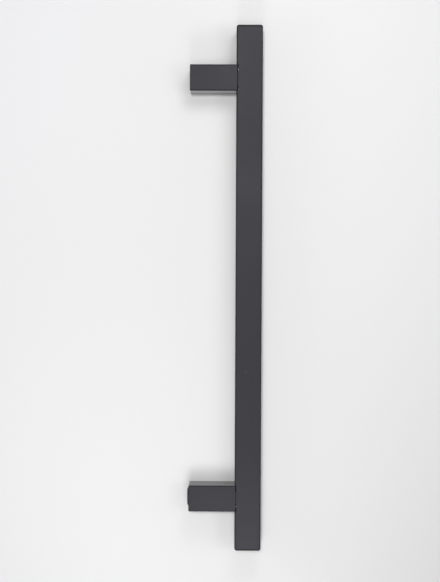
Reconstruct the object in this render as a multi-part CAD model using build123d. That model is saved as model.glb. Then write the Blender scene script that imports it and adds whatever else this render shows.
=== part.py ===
from build123d import *
import os

# Straight square pull handle for a door, held by two square posts.
# The origin is midway between the two door fixings, on the face of the door.
# +X leaves the door, +Y runs along the door's face, +Z runs up the grip.
# Sizes are in millimetres.

# Whole handle
section = 25.0          # side of the square bar and of the square posts
grip_length = 500.0
fixing_centres = 400.0  # between the axes of the two posts
projection = 69.0       # from the door to the outer face of the grip
edge_radius = 1.5       # long edges of the bar and of the posts

# Grip, a square tube with a cap welded into each end
tube_wall = 3.0
tube_inner_radius = 0.8
cap_thickness = 3.0
cap_plug_depth = 3.0
cap_plug_clearance = 0.1
cap_edge_radius = 2.5   # rim of the closed end

# Joint of post and bar: the post is let into a milled seat, over a raised pad
seat_depth = 1.9
seat_clearance = 0.1    # on each side of the post
seat_edge_break = 0.3
joint_gap = 1.0         # shadow gap left round the pad
pad_inset = 5.0
post_edge_break = 0.25

# Foot of the post, with its socket for the fixing boss
foot_edge_break = 0.5
socket_radius = 8.5
socket_depth = 18.0
socket_lead_in = 0.5

# Joint screw, M8 with a socket head, its spring washer and the block it enters
screw_radius = 4.0
screw_head_radius = 6.5
screw_head_height = 8.0
screw_length = 30.0
screw_hex = 6.0
screw_hex_depth = 4.0
screw_clearance_radius = 4.2
counterbore_radius = 7.0
counterbore_floor = 30.0
washer_radius = 6.35
washer_thickness = 2.0
washer_split = 1.5
washer_split_angle = 20.0
block_depth = 12.0
block_length = 30.0
block_clearance = 0.2
block_chamfer = 1.0

# Fixing boss, tapped M8 for the bolt that comes through the door
boss_radius = 8.4
boss_length = 18.0
boss_chamfer = 0.6
boss_bore_radius = 3.4  # drilled for the M8 thread
boss_mouth_radius = 4.2
boss_mouth_depth = 0.45  # a countersink of 120 degrees at each end of the bore
groove_start = 5.5      # from the boss's door end
groove_width = 7.0
groove_depth = 1.1
boss_standing_proud = {"upper": 0.0, "lower": 1.2}

# Grub screw, M6 with a dog point, in the side of the post
grub_radius = 3.0
grub_height = 9.0       # its axis above the door
grub_recess = 0.3
grub_dog_radius = 2.0
grub_dog_length = 1.5
grub_hex = 3.0
grub_hex_depth = 2.2
grub_countersink = 0.4

# How far a cutter runs past the face it opens through
past = 1.0

# Places that follow from those sizes
half_section = section / 2
grip_back = projection - section
grip_axis = projection - half_section
seat_floor = grip_back + seat_depth
pad_face = seat_floor - joint_gap
tube_inside = section - 2 * tube_wall
tube_length = grip_length - 2 * cap_thickness
block_seat = grip_back + tube_wall
washer_seat = counterbore_floor - washer_thickness
groove_floor_radius = boss_radius - groove_depth
post_heights = {"upper": fixing_centres / 2, "lower": -fixing_centres / 2}


def turned(outline):
    """A piece turned about the X axis, from points of distance along it and radius."""
    return revolve(make_face(Polyline(*outline, close=True)), Axis.X)


def square_prism(side, corner, start, end):
    """A square prism with rounded long edges, running along X from start to end."""
    face = Plane.YZ.offset(start) * RectangleRounded(side, side, corner)
    return extrude(face, end - start)


def hex_recess(across_flats, mouth, depth):
    """A hexagonal key recess cut towards +X from mouth, with a drilled cone at its floor."""
    hexagon = Plane.YZ.offset(mouth) * RegularPolygon(across_flats / 2, 6, major_radius=False)
    drill_radius = across_flats / 2
    floor = mouth + depth
    cone = turned([(floor, 0), (floor, drill_radius), (floor + drill_radius / 2, 0)])
    return extrude(hexagon, depth) + cone


def make_grip_bar():
    """The tube, with a seat milled straight across its back for each post."""
    outside = RectangleRounded(section, section, edge_radius)
    inside = RectangleRounded(tube_inside, tube_inside, tube_inner_radius)
    face = Plane.XY.offset(-tube_length / 2) * Pos(grip_axis, 0) * (outside - inside)
    tube = extrude(face, tube_length)
    half_seat = half_section + seat_clearance
    reach = grip_back - past
    flare = half_seat + seat_edge_break + past
    for height in post_heights.values():
        seat_outline = Polyline(
            (seat_floor, height - half_seat),
            (seat_floor, height + half_seat),
            (grip_back + seat_edge_break, height + half_seat),
            (reach, height + flare),
            (reach, height - flare),
            (grip_back + seat_edge_break, height - half_seat),
            close=True,
        )
        # the sketch plane's second direction is +Z and its normal is -Y
        seat = extrude(Plane.XZ * make_face(seat_outline), section, both=True)
        tube -= seat
        hole = turned(
            [
                (grip_back, 0),
                (grip_back, screw_clearance_radius),
                (block_seat + past, screw_clearance_radius),
                (block_seat + past, 0),
            ]
        )
        tube -= Pos(0, 0, height) * hole
    return tube


def make_end_cap(direction):
    """A plate with a plug that enters the tube; direction is 1 at the top, -1 at the bottom."""
    plate = extrude(Rectangle(section, section), cap_thickness)
    plate = fillet(plate.faces().sort_by(Axis.Z)[-1].edges(), cap_edge_radius)
    # the upright edges and the mitres that the rim's radius leaves above them
    inner_corner = (half_section - edge_radius) ** 2
    corners = [edge for edge in plate.edges() if abs(edge.center().X * edge.center().Y) > inner_corner]
    plate = fillet(corners, edge_radius)
    plug_side = tube_inside - 2 * cap_plug_clearance
    plug = extrude(RectangleRounded(plug_side, plug_side, tube_inner_radius), -cap_plug_depth)
    plug = chamfer(plug.faces().sort_by(Axis.Z)[0].edges(), tube_inner_radius / 2)
    cap = Pos(grip_axis, 0, tube_length / 2) * (plate + plug)
    if direction < 0:
        cap = mirror(cap, Plane.XY)
    return cap


def make_post():
    """A square post on the X axis: socket, counterbore and screw hole in one line."""
    body = square_prism(section, edge_radius, 0, pad_face)
    body = chamfer(body.faces().sort_by(Axis.X)[0].edges(), foot_edge_break)
    body = chamfer(body.faces().sort_by(Axis.X)[-1].edges(), post_edge_break)
    pad_side = section - 2 * pad_inset
    body += square_prism(pad_side, edge_radius, pad_face, seat_floor)
    bore = turned(
        [
            (-past, 0),
            (-past, socket_radius + socket_lead_in + past),
            (socket_lead_in, socket_radius),
            (socket_depth, socket_radius),
            (socket_depth, counterbore_radius),
            (counterbore_floor, counterbore_radius),
            (counterbore_floor, screw_clearance_radius),
            (seat_floor + past, screw_clearance_radius),
            (seat_floor + past, 0),
        ]
    )
    tapped = turned(
        [
            (0, 0),
            (0, grub_radius),
            (half_section - grub_countersink, grub_radius),
            (half_section + past, grub_radius + grub_countersink + past),
            (half_section + past, 0),
        ]
    )
    return body - bore - Pos(grub_height, 0, 0) * Rot(0, 0, 90) * tapped


def make_nut_block():
    """A steel block that slides down the tube and is tapped across for the joint screw."""
    width = tube_inside - 2 * block_clearance
    slab = extrude(Rectangle(block_depth, width), block_length / 2, both=True)
    slab = chamfer(slab.edges().filter_by(Axis.Z), block_chamfer)
    slab = chamfer(slab.faces().filter_by(Axis.Z).edges(), block_chamfer / 2)
    block = Pos(block_seat + block_depth / 2, 0, 0) * slab
    end = block_seat + block_depth
    tapped = turned(
        [
            (block_seat - past, 0),
            (block_seat - past, screw_radius),
            (end + past, screw_radius),
            (end + past, 0),
        ]
    )
    return block - tapped


def make_joint_screw():
    """A socket head cap screw, its head towards the door."""
    top = washer_seat - screw_head_height
    tip = washer_seat + screw_length
    crown = screw_head_radius / 8
    blank = turned(
        [
            (top, 0),
            (top, screw_head_radius - crown),
            (top + crown, screw_head_radius),
            (washer_seat, screw_head_radius),
            (washer_seat, screw_radius),
            (tip - screw_radius / 4, screw_radius),
            (tip, screw_radius * 3 / 4),
            (tip, 0),
        ]
    )
    return blank - hex_recess(screw_hex, top, screw_hex_depth)


def make_lock_washer():
    """A spring washer pressed flat, with its slanted split."""
    ring = turned(
        [
            (washer_seat, screw_clearance_radius),
            (washer_seat, washer_radius),
            (counterbore_floor, washer_radius),
            (counterbore_floor, screw_clearance_radius),
        ]
    )
    middle = Pos(washer_seat + washer_thickness / 2, 0, washer_radius)
    cutter = Box(4 * washer_thickness, washer_split, washer_radius)
    return ring - middle * Rot(0, 0, washer_split_angle) * cutter


def make_fixing_boss():
    """A turned boss with a groove for the grub screw and a bore for the door bolt."""
    groove_end = groove_start + groove_width
    return turned(
        [
            (0, boss_mouth_radius),
            (0, boss_radius - boss_chamfer),
            (boss_chamfer, boss_radius),
            (groove_start, boss_radius),
            (groove_start, groove_floor_radius),
            (groove_end, groove_floor_radius),
            (groove_end, boss_radius),
            (boss_length - boss_chamfer, boss_radius),
            (boss_length, boss_radius - boss_chamfer),
            (boss_length, boss_mouth_radius),
            (boss_length - boss_mouth_depth, boss_bore_radius),
            (boss_mouth_depth, boss_bore_radius),
        ]
    )


def make_grub_screw():
    """A grub screw turned about X, its dog point inwards, stood across the post along +Y."""
    outer = half_section - grub_recess
    shoulder = groove_floor_radius + grub_dog_length
    ease = grub_radius / 10
    blank = turned(
        [
            (groove_floor_radius, 0),
            (groove_floor_radius, grub_dog_radius - ease),
            (groove_floor_radius + ease, grub_dog_radius),
            (shoulder, grub_dog_radius),
            (shoulder + grub_radius - grub_dog_radius, grub_radius),
            (outer - ease, grub_radius),
            (outer, grub_radius - ease),
            (outer, 0),
        ]
    )
    recess = mirror(hex_recess(grub_hex, -outer, grub_hex_depth), Plane.YZ)
    return Pos(grub_height, 0, 0) * Rot(0, 0, 90) * (blank - recess)


def write_piece(name, shape):
    """One STEP file for one piece."""
    shape.label = name
    export_step(shape, f"parts/{name}.step")


os.makedirs("parts", exist_ok=True)
write_piece("grip_bar", make_grip_bar())
write_piece("upper_end_cap", make_end_cap(1))
write_piece("lower_end_cap", make_end_cap(-1))

like_pieces = {
    "post": make_post(),
    "nut_block": make_nut_block(),
    "joint_screw": make_joint_screw(),
    "lock_washer": make_lock_washer(),
    "grub_screw": make_grub_screw(),
}
boss = make_fixing_boss()
for place, height in post_heights.items():
    for kind, shape in like_pieces.items():
        write_piece(f"{place}_{kind}", Pos(0, 0, height) * shape)
    write_piece(f"{place}_fixing_boss", Pos(-boss_standing_proud[place], 0, height) * boss)
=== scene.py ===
# A straight square bar pull handle for a door, on two square posts let into its back.
# The scene is in metres, and the sizes of the turned pieces are in millimetres. The origin
# is on the door's face, midway between the fixings, +X leaves the door and +Z runs up.
import math

import bpy
import numpy as np
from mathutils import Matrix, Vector


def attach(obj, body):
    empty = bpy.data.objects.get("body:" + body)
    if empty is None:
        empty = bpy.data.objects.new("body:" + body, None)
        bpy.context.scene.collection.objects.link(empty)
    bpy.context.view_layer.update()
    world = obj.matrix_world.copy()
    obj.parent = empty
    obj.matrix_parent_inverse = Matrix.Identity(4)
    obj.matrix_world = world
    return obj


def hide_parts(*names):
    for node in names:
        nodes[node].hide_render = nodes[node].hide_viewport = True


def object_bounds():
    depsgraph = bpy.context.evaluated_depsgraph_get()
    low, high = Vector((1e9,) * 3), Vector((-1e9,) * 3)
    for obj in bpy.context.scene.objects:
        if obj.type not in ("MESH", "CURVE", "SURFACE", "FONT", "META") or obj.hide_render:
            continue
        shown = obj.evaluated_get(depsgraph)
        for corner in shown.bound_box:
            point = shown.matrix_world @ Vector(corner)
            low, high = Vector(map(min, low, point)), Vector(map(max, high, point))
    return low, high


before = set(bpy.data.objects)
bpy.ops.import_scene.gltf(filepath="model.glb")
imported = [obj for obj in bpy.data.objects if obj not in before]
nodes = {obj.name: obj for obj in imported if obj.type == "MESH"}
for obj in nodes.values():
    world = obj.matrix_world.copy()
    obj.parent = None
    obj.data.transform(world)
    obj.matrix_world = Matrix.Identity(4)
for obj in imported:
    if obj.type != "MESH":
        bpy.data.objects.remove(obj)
bpy.context.view_layer.update()
cad_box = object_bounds()
millimetre = 0.001

# The camera stands squarely before the handle's side, about a metre away, as a hand
# holds it over a thing laid flat. The handle lies turned by a quarter of a degree.
focal_length_px = 1145
photo_height_px = 582
sensor_mm = 36
camera_place = (0.0396, -1.0982, 0.0239)
camera_turn = (88.641, -0.248, 0.546)

camera_data = bpy.data.cameras.new("camera")
camera_data.sensor_width = sensor_mm
camera_data.lens = focal_length_px * sensor_mm / photo_height_px
camera = bpy.data.objects.new("camera", camera_data)
camera.location = camera_place
camera.rotation_euler = [math.radians(degrees) for degrees in camera_turn]
bpy.context.scene.collection.objects.link(camera)
bpy.context.scene.camera = camera
bpy.context.scene.view_settings.view_transform = "Standard"


# The handle lies with its side on a plain pale sheet, which catches its soft shadow.
# The sheet is a smooth matt board, with hardly any tooth. Seen from behind it isn't
# there, and it lets through the light that the side lying on it needs.
class Wire:
    """An output socket. Sums, differences and products of wires add Math nodes."""

    def __init__(self, tree, socket=None):
        self.tree = tree
        self.socket = socket

    def node(self, kind, settings=None, inputs=None, output=0):
        """A node of that kind: its settings first, then the values or wires of its sockets."""
        made = self.tree.nodes.new(kind)
        for name, value in (settings or {}).items():
            setattr(made, name, value)
        for name, value in (inputs or {}).items():
            if isinstance(value, Wire):
                self.tree.links.new(value.socket, made.inputs[name])
            else:
                made.inputs[name].default_value = value
        return Wire(self.tree, made.outputs[output] if made.outputs else None)

    def math(self, operation, first, second=0.0):
        """A Math node on two wires or numbers."""
        return self.node("ShaderNodeMath", {"operation": operation}, {0: first, 1: second})

    def __add__(self, other):
        return self.math("ADD", self, other)

    def __sub__(self, other):
        return self.math("SUBTRACT", self, other)

    def __rsub__(self, other):
        return self.math("SUBTRACT", other, self)

    def __mul__(self, other):
        return self.math("MULTIPLY", self, other)

    def __pow__(self, other):
        return self.math("POWER", self, other)

    def __abs__(self):
        return self.math("ABSOLUTE", self)

    __radd__ = __add__
    __rmul__ = __mul__

    def rise(self, low, high):
        """0 below low, 1 above high, and a smooth rise between them."""
        ends = {"Value": self, "From Min": low, "From Max": high}
        return self.node("ShaderNodeMapRange", {"interpolation_type": "SMOOTHSTEP"}, ends)

    def mix(self, first, second):
        """The first colour where this wire is 0, and the second where it is 1."""
        return self.node("ShaderNodeMix", {"data_type": "RGBA"}, {0: self, 6: first, 7: second}, 2)


def new_material(name):
    """An empty material, and a wire to start its nodes from."""
    material = bpy.data.materials.new(name)
    material.use_nodes = True
    material.node_tree.nodes.clear()
    return material, Wire(material.node_tree)


def mesh_object(name, points, faces):
    """A mesh object whose place is in its mesh."""
    mesh = bpy.data.meshes.new(name)
    mesh.from_pydata(points, [], faces)
    made = bpy.data.objects.new(name, mesh)
    bpy.context.scene.collection.objects.link(made)
    return made


sheet_colour = (0.895, 0.891, 0.894, 1)
# the next two colours are painted light and painted shade, laid on the sheet's colour below
sheet_painted_light = (0.964, 0.965, 0.983, 1)
sheet_painted_shade = (0.786, 0.773, 0.780, 1)
sheet_reach = 3.0
sheet_gap = 0.1 * millimetre
tooth_depth = 0.1 * millimetre
see_through = 1.0 * millimetre
side = cad_box[1].y + sheet_gap

sheet_corners = [(-sheet_reach, side, -sheet_reach), (sheet_reach, side, -sheet_reach),
                 (sheet_reach, side, sheet_reach), (-sheet_reach, side, sheet_reach)]
sheet = mesh_object("pale_sheet", sheet_corners, [(0, 1, 2, 3)])
board, start = new_material("pale_board")
place = start.node("ShaderNodeTexCoord", output="Object")
tooth = start.node("ShaderNodeTexNoise", inputs={"Vector": place, "Scale": 900, "Detail": 3})
bump = start.node("ShaderNodeBump", inputs={"Height": tooth, "Strength": 0.1, "Distance": tooth_depth})
across = start.node("ShaderNodeSeparateXYZ", inputs={0: place}, output="X")
up = start.node("ShaderNodeSeparateXYZ", inputs={0: place}, output="Z")
# painted light and shade: the sheet's colour is painted lighter towards the handle's feet and up, and
# painted darker towards its grip and down, standing in for how the light falls across it
painted_light_side = (1 - across.rise(-0.20, 0.02)) * (0.4 + 0.6 * up.rise(-0.05, 0.32))
painted_shade_side = across.rise(-0.14, 0.28) * (1 - up.rise(-0.36, 0.10))
colour = painted_shade_side.mix(painted_light_side.mix(sheet_colour, sheet_painted_light), sheet_painted_shade)
surface = start.node("ShaderNodeBsdfPrincipled", inputs={
    "Base Color": colour, "Roughness": 0.8, "Specular IOR Level": 0.2, "Normal": bump})
near = start.math("LESS_THAN", start.node("ShaderNodeLightPath", output="Ray Length"), see_through)
behind = start.node("ShaderNodeNewGeometry", output="Backfacing")
clear = start.math("MAXIMUM", near, behind)
shown = start.node("ShaderNodeMixShader", inputs={
    0: clear, 1: surface, 2: start.node("ShaderNodeBsdfTransparent")})
start.node("ShaderNodeOutputMaterial", inputs={"Surface": shown})
sheet.data.materials.append(board)

# Soft light from a pale room and from softboxes: two behind the camera, over and under it,
# two near the ends of the handle, two on its right and one on its left. One more stands
# behind the sheet. Each lamp's strength is its share of the light on the sheet's middle.
world = bpy.data.worlds.new("room")
bpy.context.scene.world = world
world.use_nodes = True
world.node_tree.nodes.clear()
start = Wire(world.node_tree)
room_share = 0.15
room_colour = (0.86, 0.865, 0.865, 1)
room = start.node("ShaderNodeBackground", inputs={"Color": (1, 1, 1, 1), "Strength": room_share})
seen = start.node("ShaderNodeBackground", inputs={"Color": room_colour, "Strength": 1.0})
# the eye, mirrors and glass see the walls, and everything else gets only their light
straight, mirrored, through = [start.node("ShaderNodeLightPath", output=f"Is {kind} Ray")
                               for kind in ("Camera", "Glossy", "Transmission")]
looking = start.math("MINIMUM", straight + mirrored + through, 1)
start.node("ShaderNodeOutputWorld", inputs={
    "Surface": start.node("ShaderNodeMixShader", inputs={0: looking, 1: room, 2: seen})})

lit_point = Vector((0.05, side, 0))


def softbox(name, share, size, place):
    """A square lamp at that place from the lit point, turned to face it."""
    lamp_data = bpy.data.lights.new(name, "AREA")
    lamp_data.size = size
    away = Vector(place)
    slant = abs(away.y) / away.length
    lamp_data.energy = share * (math.pi * away.length) ** 2 / slant
    lamp = bpy.data.objects.new(name, lamp_data)
    lamp.location = lit_point + away
    lamp.rotation_euler = away.to_track_quat("Z", "Y").to_euler()
    lamp.visible_camera = False
    bpy.context.scene.collection.objects.link(lamp)


softbox("over_camera", 0.295, 0.15, (-0.141, -1.900, 0.320))
softbox("under_camera", 0.088, 0.40, (-0.041, -1.894, -0.484))
softbox("upper_end", 0.159, 0.24, (0.090, -0.467, 0.444))
softbox("lower_end", 0.172, 0.18, (-0.024, -0.422, -0.388))
softbox("right_window", 0.080, 0.60, (1.114, -1.610, -0.090))
softbox("side_window", 0.015, 1.00, (1.600, -0.300, 0.100))
softbox("left_window", 0.041, 0.30, (-0.820, -0.360, -0.018))
softbox("back_window", 1.0, 1.4, (-0.46, 1.31, 0.79))

# The grip is a square tube of aluminium, 25 mm across and half a metre long, powder
# coated in a dark satin grey. Its coat has a fine orange peel, and one pale nib.
coat_grey = (0.0177, 0.0175, 0.0217, 1)
coat_pale = (0.0230, 0.0229, 0.0281, 1)
coat_gloss_tint = (0.93, 0.93, 1.0, 1)
nib_colour = (0.030, 0.031, 0.031, 1)
nib_place = (54.4 * millimetre, -12.5 * millimetre, -78.6 * millimetre)


def powder_coat(name, nib=None):
    """Colour drifts over centimetres, and the peel is a bump of about a millimetre."""
    material, start = new_material(name)
    place = start.node("ShaderNodeTexCoord", output="Object")
    drift = start.node("ShaderNodeTexNoise", inputs={"Vector": place, "Scale": 17, "Detail": 2})
    peel = start.node("ShaderNodeTexNoise", inputs={"Vector": place, "Scale": 750, "Detail": 2})
    grain = start.node("ShaderNodeTexNoise", inputs={"Vector": place, "Scale": 3200, "Detail": 1})
    shade = drift.rise(0.3, 0.7) * 0.5 + peel.rise(0.35, 0.65) * 0.3 + grain * 0.2
    colour = shade.mix(coat_grey, coat_pale)
    height = peel + grain * 0.3
    if nib:
        from_nib = start.node("ShaderNodeVectorMath", {"operation": "DISTANCE"}, {0: place, 1: nib}, 1)
        speck = 1 - from_nib.rise(0.5 * millimetre, 2.4 * millimetre)
        colour = speck.mix(colour, nib_colour)
        height = height + speck * 2
    bump = start.node("ShaderNodeBump", inputs={
        "Height": height, "Strength": 0.35, "Distance": 0.03 * millimetre})
    grazing = start.node("ShaderNodeLayerWeight", inputs={"Blend": 0.5}, output="Facing")
    sheen = grazing.rise(0.62, 0.9)
    roughness = (0.36 + shade * 0.12) * (1 - sheen * 0.7)
    surface = start.node("ShaderNodeBsdfPrincipled", inputs={
        "Base Color": colour, "Roughness": roughness, "Normal": bump,
        "Specular IOR Level": 0.18, "Specular Tint": coat_gloss_tint,
        "Coat Weight": sheen * 0.6, "Coat Roughness": 0.2})
    start.node("ShaderNodeOutputMaterial", inputs={"Surface": surface})
    return material


grip_coat = powder_coat("grip_coat", nib_place)
nodes["grip_bar"].material_slots[0].material = grip_coat

# Inside the tube, behind each seat, lies a tapped steel block that the post is drawn
# against. It is sawn from bar and zinc plated, bright with a faint cloudy spangle.
ends = ("upper", "lower")
zinc_bright = (0.66, 0.67, 0.69, 1)
zinc_cloudy = (0.50, 0.51, 0.54, 1)

plated_zinc, start = new_material("plated_zinc")
place = start.node("ShaderNodeTexCoord", output="Object")
cloud = start.node("ShaderNodeTexNoise", inputs={"Vector": place, "Scale": 320, "Detail": 3})
drawn = start.node("ShaderNodeMapping", inputs={"Vector": place, "Scale": (1, 1, 0.04)})
scratch = start.node("ShaderNodeTexNoise", inputs={"Vector": drawn, "Scale": 4000, "Detail": 2})
bump = start.node("ShaderNodeBump", inputs={
    "Height": scratch, "Strength": 0.25, "Distance": 0.02 * millimetre})
surface = start.node("ShaderNodeBsdfPrincipled", inputs={
    "Base Color": cloud.rise(0.35, 0.65).mix(zinc_bright, zinc_cloudy), "Metallic": 1.0,
    "Roughness": 0.24 + cloud * 0.16 + scratch * 0.08, "Normal": bump})
start.node("ShaderNodeOutputMaterial", inputs={"Surface": surface})
for end in ends:
    nodes[f"{end}_nut_block"].material_slots[0].material = plated_zinc

# Each end of the tube has a cap welded in and dressed flush before the coating, so the
# coat runs over it without a line.
for end in ends:
    nodes[f"{end}_end_cap"].material_slots[0].material = grip_coat

# The posts are square aluminium bar, drilled from the foot and coated on their own.
# Each is let into its seat over a raised pad, which leaves the dark gap of the joint.
post_coat = powder_coat("post_coat")
for end in ends:
    nodes[f"{end}_post"].material_slots[0].material = post_coat

# A spring washer lies under the head of each joint screw, pressed flat.
for end in ends:
    nodes[f"{end}_lock_washer"].material_slots[0].material = plated_zinc

# The joint screws are M8 socket head screws, 30 mm long, of blackened steel: turned,
# knurled round the head and rolled with their thread. They pull the posts to the grip.
fixing_centres = 400
heights = {"upper": fixing_centres / 2, "lower": -fixing_centres / 2}
columns = 72
angle = np.arange(columns) * (2 * math.pi / columns)
rings_a_turn = 10
black_deep = (0.020, 0.0198, 0.0215, 1)
black_rubbed = (0.052, 0.049, 0.050, 1)


def circles(*outline):
    """Round rings of an outline: points of distance along the axis and radius."""
    along, radius = np.array(outline, float).T
    return along, np.repeat(radius[:, None], columns, axis=1)


def hexagons(*outline):
    """Six-sided rings: points of distance along the axis and half the size across flats.

    At each angle the radius is that half size, over the cosine of the angle from the
    middle of the nearest flat.
    """
    along, radius = circles(*outline)
    flat = math.pi / 3
    return along, radius / np.cos((angle + flat / 2) % flat - flat / 2)


def thread(start, end, crest, root, pitch):
    """Rings of a thread between two places on the axis.

    A ring's radius at an angle depends on its distance in pitches less that angle in whole
    turns. It is root over a quarter of the pitch, crest over an eighth, and straight
    between them.
    """
    root_flat, crest_flat = 1 / 4, 1 / 8
    count = round(abs(end - start) / pitch * rings_a_turn) + 1
    along = np.linspace(start, end, count)
    phase = (along[:, None] / pitch - angle / (2 * math.pi)) % 1
    height = np.clip((abs(phase - 0.5) * 2 - root_flat) / (1 - root_flat - crest_flat), 0, 1)
    return along, root + (crest - root) * height


def turned_piece(name, stretches, centre, points_on_axis=None, axis="X"):
    """A piece turned about a line through centre, from rings along its outline.

    A point stands at its ring's distance along the axis and off it by the ring's radius
    at that point's angle. The outline has the solid on its right hand. It ends on two
    points of the axis, or without them its last ring joins the first.
    """
    along = np.concatenate([stretch[0] for stretch in stretches])
    radius = np.concatenate([stretch[1] for stretch in stretches])
    count = len(along)
    points = np.stack([along[:, None] + 0 * radius, radius * np.cos(angle),
                       radius * np.sin(angle)], axis=2).reshape(-1, 3)
    rings, places = np.arange(count - 1 if points_on_axis else count), np.arange(columns)
    ring, place = np.meshgrid(rings, places, indexing="ij")
    following, beside = (ring + 1) % count * columns, (place + 1) % columns
    faces = np.stack([ring * columns + place, ring * columns + beside,
                      following + beside, following + place], axis=2).reshape(-1, 4).tolist()
    if points_on_axis:
        points = np.vstack([points, [(distance, 0, 0) for distance in points_on_axis]])
        last = places + (count - 1) * columns
        first_point, last_point = 0 * places + count * columns, 0 * places + count * columns + 1
        faces += np.stack([first_point, np.roll(places, -1), places], axis=1).tolist()
        faces += np.stack([last_point, last, np.roll(last, -1)], axis=1).tolist()
    if axis == "Y":
        points = np.roll(points, 1, axis=1)
    piece = mesh_object(name, (points + centre) * millimetre, faces)
    piece.data.shade_smooth()
    piece.data.set_sharp_from_angle(angle=math.radians(35))
    return piece


def black_oxide(name, axis_x=None):
    """Turned steel under an uneven black: tool rings round the axis of the piece.

    The rings are noise read at the distance from the axis and along it. The axis lies
    along X, or along Y at axis_x. Heights are taken from the nearer of the two posts.
    """
    material, start = new_material(name)
    place = start.node("ShaderNodeTexCoord", output="Object")
    x, y, z = [start.node("ShaderNodeSeparateXYZ", inputs={0: place}, output=way) for way in "XYZ"]
    along, aside = (x, y) if axis_x is None else (y, x - axis_x * millimetre)
    above = abs(z) - heights["upper"] * millimetre
    from_axis = (aside * aside + above * above) ** 0.5
    turning = start.node("ShaderNodeCombineXYZ", inputs={"X": from_axis, "Y": along})
    rings = start.node("ShaderNodeTexNoise", inputs={"Vector": turning, "Scale": 5000, "Detail": 2})
    blotch = start.node("ShaderNodeTexNoise", inputs={"Vector": place, "Scale": 300, "Detail": 4})
    rubbed = blotch.rise(0.42, 0.72) * 0.6 + rings.rise(0.5, 0.8) * 0.4
    bump = start.node("ShaderNodeBump", inputs={
        "Height": rings, "Strength": 0.3, "Distance": 0.02 * millimetre})
    surface = start.node("ShaderNodeBsdfPrincipled", inputs={
        "Base Color": rubbed.mix(black_deep, black_rubbed), "Metallic": 0.5,
        "Roughness": 0.30 + blotch * 0.16 + rings * 0.10, "Normal": bump})
    start.node("ShaderNodeOutputMaterial", inputs={"Surface": surface})
    return material


black_steel = black_oxide("black_steel")
# places along the screw are counted from the door, and key_half is half the key across flats
head_start, head_end, thread_start, tip = 20, 28, 29.5, 58
head_radius, head_rounding, head_bevel, tip_bevel = 6.5, 0.8, 0.3, 1
knurl_start, knurl_end, knurl_depth = 21.2, 26.8, 0.18
screw_crest, screw_root, screw_pitch, runout = 4.0, 3.233, 1.25, 0.3
key_half, key_floor, key_mouth_radius, key_mouth_depth = 3, 24, 3.65, 0.4
drill_radius, drill_point = 2.7, 25.4
turn = np.linspace(0, math.pi / 2, 5)
crown = np.stack([head_start + head_rounding * (1 - np.cos(turn)),
                  head_radius - head_rounding * (1 - np.sin(turn))], axis=1)
knurl_along, knurl_radius = circles((knurl_start, head_radius), (knurl_end, head_radius))
knurl = (knurl_along, knurl_radius - knurl_depth * (np.arange(columns) % 2))
under_head = circles((head_end - head_rounding, head_radius), (head_end, head_radius - head_bevel),
                     (head_end, screw_crest), (thread_start - runout, screw_crest))
shank_along, shank_radius = thread(thread_start, tip, screw_crest, screw_root, screw_pitch)
into_bevel = np.maximum(shank_along - (tip - tip_bevel), 0)[:, None]
shank = (shank_along, np.minimum(shank_radius, screw_crest - into_bevel))
screw = [circles((key_floor, drill_radius)),
         hexagons((key_floor, key_half), (head_start + key_mouth_depth, key_half)),
         circles((head_start, key_mouth_radius)), circles(*crown), knurl, under_head, shank]
for end in ends:
    middle = (0, 0, heights[end])
    piece = turned_piece(f"{end}_socket_screw", screw, middle, (drill_point, tip))
    piece.data.materials.append(black_steel)
    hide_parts(f"{end}_joint_screw")
    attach(piece, "root")

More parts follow.
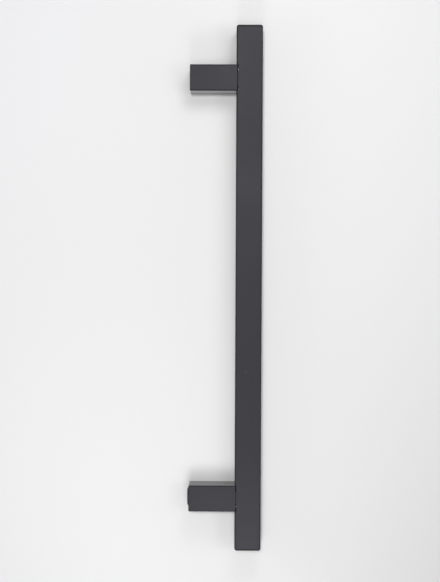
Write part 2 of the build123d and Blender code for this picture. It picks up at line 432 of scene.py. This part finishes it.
# A turned steel boss fills each foot, tapped M8 for the bolt that comes through the door.
# Its groove takes the grub screw. The lower one stands 1.2 mm out of its foot.
standing_proud = {"upper": 0.0, "lower": 1.2}
boss_length, boss_radius, boss_bevel = 18, 8.4, 0.6
groove_start, groove_end, groove_radius, groove_break = 5.5, 12.5, 7.3, 0.1
tapping_radius, mouth_radius, mouth_depth, face_radius = 3.4, 4.2, 0.45, 4.6
bore_along, bore_radius = thread(boss_length, 0, tapping_radius, screw_crest, screw_pitch)
from_mouth = np.minimum(bore_along, boss_length - bore_along)[:, None]
countersink = mouth_radius - from_mouth * (mouth_radius - tapping_radius) / mouth_depth
bore = (bore_along, np.maximum(bore_radius, countersink))
groove = [(groove_start - groove_break, boss_radius), (groove_start, boss_radius - groove_break),
          (groove_start, groove_radius), (groove_end, groove_radius),
          (groove_end, boss_radius - groove_break), (groove_end + groove_break, boss_radius)]
boss = [circles((0, boss_radius - boss_bevel), (boss_bevel, boss_radius), *groove,
                (boss_length - boss_bevel, boss_radius), (boss_length, boss_radius - boss_bevel),
                (boss_length, face_radius)), bore, circles((0, face_radius))]
for end in ends:
    foot = (-standing_proud[end], 0, heights[end])
    piece = turned_piece(f"{end}_tapped_boss", boss, foot)
    piece.data.materials.append(black_steel)
    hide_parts(f"{end}_fixing_boss")
    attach(piece, "root")

# An M6 grub screw in the post's hidden side holds the boss, its dog point in the groove.
# Places along it are counted from the middle of the post.
grub_axis = 9
grub_steel = black_oxide("grub_steel", grub_axis)
dog_tip, dog_root, grub_thread_start, grub_face = groove_radius, 8.8, 8.9, 12.2
dog_radius, grub_bevel = 2, 0.3
grub_crest, grub_root, grub_pitch = 3.0, 2.387, 1.0
grub_key_half, grub_key_floor, grub_key_mouth_radius, grub_key_mouth_depth = 1.5, 10, 1.85, 0.2
grub_drill_radius, grub_drill_point = 1.3, 9.3
thread_along, thread_radius = thread(grub_thread_start, grub_face, grub_crest, grub_root, grub_pitch)
tapers = np.minimum(dog_radius + thread_along - dog_root,
                    grub_crest - grub_bevel + grub_face - thread_along)[:, None]
dog = circles((dog_tip, dog_radius - grub_bevel), (dog_tip + grub_bevel, dog_radius),
              (dog_root, dog_radius))
grub = [dog, (thread_along, np.minimum(thread_radius, tapers)),
        circles((grub_face, grub_key_mouth_radius)),
        hexagons((grub_face - grub_key_mouth_depth, grub_key_half), (grub_key_floor, grub_key_half)),
        circles((grub_key_floor, grub_drill_radius))]
for end in ends:
    middle = (grub_axis, 0, heights[end])
    piece = turned_piece(f"{end}_dog_screw", grub, middle, (dog_tip, grub_drill_point), "Y")
    piece.data.materials.append(grub_steel)
    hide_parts(f"{end}_grub_screw")
    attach(piece, "root")
